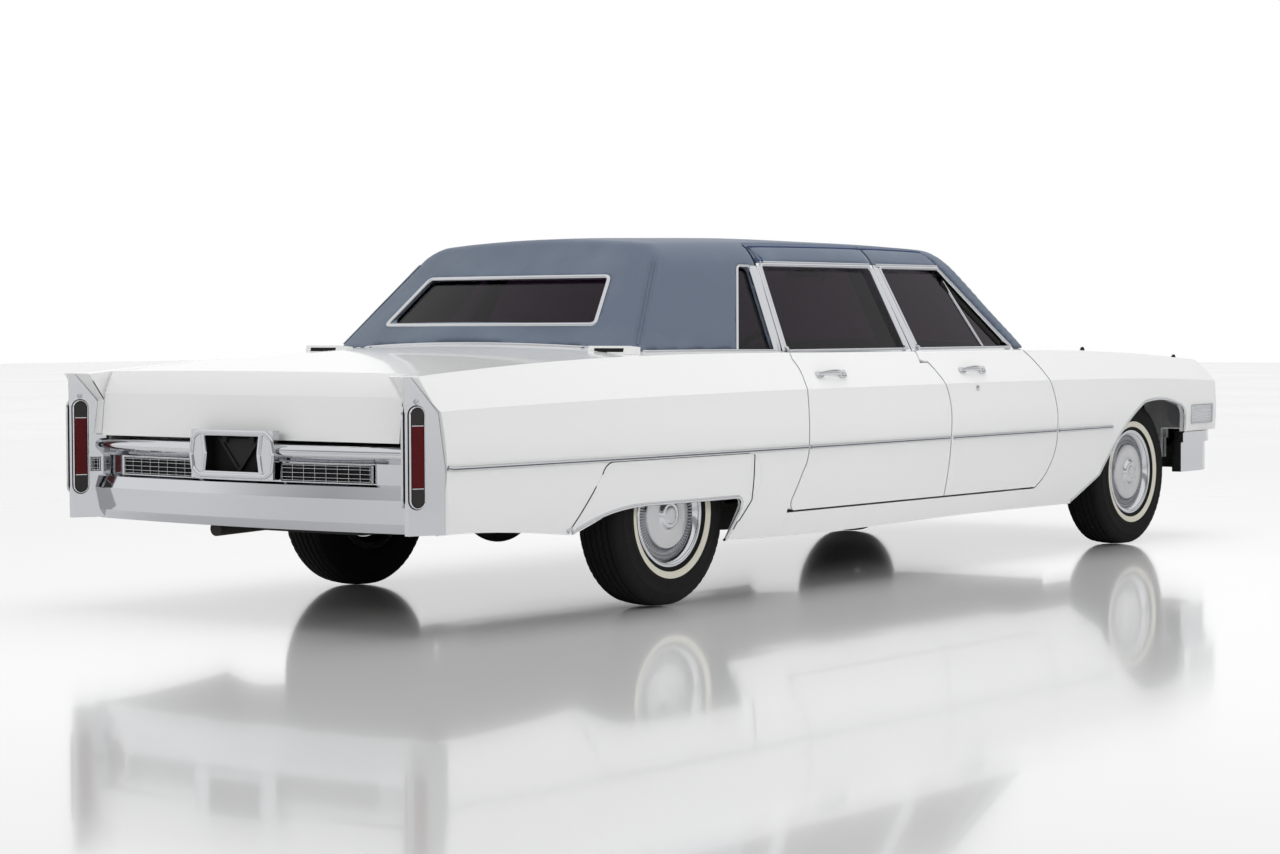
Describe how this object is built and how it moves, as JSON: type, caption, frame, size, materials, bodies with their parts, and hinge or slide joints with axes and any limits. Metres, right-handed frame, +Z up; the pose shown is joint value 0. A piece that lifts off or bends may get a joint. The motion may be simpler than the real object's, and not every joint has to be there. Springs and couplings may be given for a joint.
{
  "type": "limousine",
  "caption": "Long four-door limousine with padded cloth top, swinging doors, hinged hood and trunk lid, skirted rear wheels and steered front wheels",
  "frame": {"origin": "on the ground under the middle of the car's overall box", "axes": "+X forward, +Y to the car's left, +Z up"},
  "size_m": [6.2098, 2.0314, 1.48],
  "materials": {
    "white_paint": "glossy white paint",
    "roof_cloth": "padded blue-grey woven top",
    "tinted_glass": "dark tinted glass",
    "bright_chrome": "bright chrome plate",
    "black_metal": "black chassis paint",
    "engine_iron": "painted iron",
    "exhaust_steel": "dull steel pipe",
    "tyre_rubber": "black rubber with a narrow white band",
    "seat_cloth": "dark blue cloth upholstery",
    "cabin_plastic": "dark padded trim",
    "red_lens": "dark red lamp lens",
    "clear_lens": "clear lamp glass"
  },
  "bodies": {
    "body": {"frame_rails": "black_metal", "floor_pan": "black_metal", "cowl": "white_paint", "rockers": "white_paint", "fender_right": "white_paint", "fender_left": "white_paint", "front_panel": "white_paint", "grille": "bright_chrome", "headlamps": "clear_lens", "cornering_lamps": "clear_lens", "front_bumper": "bright_chrome", "quarter_right": "white_paint", "quarter_left": "white_paint", "skirts": "white_paint", "wheel_houses": "black_metal", "rear_deck": "white_paint", "lid_gutters": "black_metal", "deck_scoops": "white_paint", "roof": "roof_cloth", "fixed_glass": "tinted_glass", "door_posts": "cabin_plastic", "rear_bumper": "bright_chrome", "rear_grilles": "black_metal", "tail_lamps": "red_lens", "dashboard": "cabin_plastic", "steering_wheel": "cabin_plastic", "front_bench": "seat_cloth", "rear_bench": "seat_cloth", "engine": "engine_iron", "front_suspension": "black_metal", "rear_axle": "black_metal", "exhaust": "exhaust_steel", "fuel_tank": "black_metal"},
    "hood": {"hood": "white_paint"},
    "trunk_lid": {"trunk_lid": "white_paint"},
    "door_front_right": {"door_front_right": "white_paint", "door_front_glass_right": "tinted_glass", "door_front_handle_right": "bright_chrome"},
    "door_rear_right": {"door_rear_right": "white_paint", "door_rear_glass_right": "tinted_glass", "door_rear_handle_right": "bright_chrome"},
    "door_front_left": {"door_front_left": "white_paint", "door_front_glass_left": "tinted_glass", "door_front_handle_left": "bright_chrome"},
    "door_rear_left": {"door_rear_left": "white_paint", "door_rear_glass_left": "tinted_glass", "door_rear_handle_left": "bright_chrome"},
    "knuckle_right": {"knuckle_right": "black_metal"},
    "knuckle_left": {"knuckle_left": "black_metal"},
    "wheel_front_right": {"tyre_front_right": "tyre_rubber", "wheel_front_right": "bright_chrome"},
    "wheel_rear_right": {"tyre_rear_right": "tyre_rubber", "wheel_rear_right": "bright_chrome"},
    "wheel_front_left": {"tyre_front_left": "tyre_rubber", "wheel_front_left": "bright_chrome"},
    "wheel_rear_left": {"tyre_rear_left": "tyre_rubber", "wheel_rear_left": "bright_chrome"}
  },
  "joints": [
    {"name": "hood_hinge", "type": "hinge", "parent": "body", "child": "hood", "pos_m": [1.436, 0, 1.031], "axis": [0, -1, 0], "range_deg": [0, 48]},
    {"name": "trunk_hinge", "type": "hinge", "parent": "body", "child": "trunk_lid", "pos_m": [-1.946, 0, 1.022], "axis": [0, 1, 0], "range_deg": [0, 65]},
    {"name": "door_front_right_hinge", "type": "hinge", "parent": "body", "child": "door_front_right", "pos_m": [1.177, -0.992, 0.65], "axis": [0, 0, 1], "range_deg": [0, 65]},
    {"name": "door_rear_right_hinge", "type": "hinge", "parent": "body", "child": "door_rear_right", "pos_m": [0.23, -0.992, 0.65], "axis": [0, 0, 1], "range_deg": [0, 62]},
    {"name": "door_front_left_hinge", "type": "hinge", "parent": "body", "child": "door_front_left", "pos_m": [1.177, 0.992, 0.65], "axis": [0, 0, -1], "range_deg": [0, 65]},
    {"name": "door_rear_left_hinge", "type": "hinge", "parent": "body", "child": "door_rear_left", "pos_m": [0.23, 0.992, 0.65], "axis": [0, 0, -1], "range_deg": [0, 62]},
    {"name": "steer_right", "type": "hinge", "parent": "body", "child": "knuckle_right", "pos_m": [2.211, -0.704, 0.362], "axis": [0, 0, 1], "range_deg": [-33, 33]},
    {"name": "steer_left", "type": "hinge", "parent": "body", "child": "knuckle_left", "pos_m": [2.211, 0.704, 0.362], "axis": [0, 0, 1], "range_deg": [-33, 33]},
    {"name": "spin_front_right", "type": "hinge", "parent": "knuckle_right", "child": "wheel_front_right", "pos_m": [2.211, -0.794, 0.362], "axis": [0, 1, 0], "continuous": true},
    {"name": "spin_rear_right", "type": "hinge", "parent": "body", "child": "wheel_rear_right", "pos_m": [-1.594, -0.794, 0.362], "axis": [0, 1, 0], "continuous": true},
    {"name": "spin_front_left", "type": "hinge", "parent": "knuckle_left", "child": "wheel_front_left", "pos_m": [2.211, 0.794, 0.362], "axis": [0, 1, 0], "continuous": true},
    {"name": "spin_rear_left", "type": "hinge", "parent": "body", "child": "wheel_rear_left", "pos_m": [-1.594, 0.794, 0.362], "axis": [0, 1, 0], "continuous": true}
  ],
  "couplings": [
    {"joint": "steer_left", "follows": "steer_right", "ratio": 1}
  ]
}
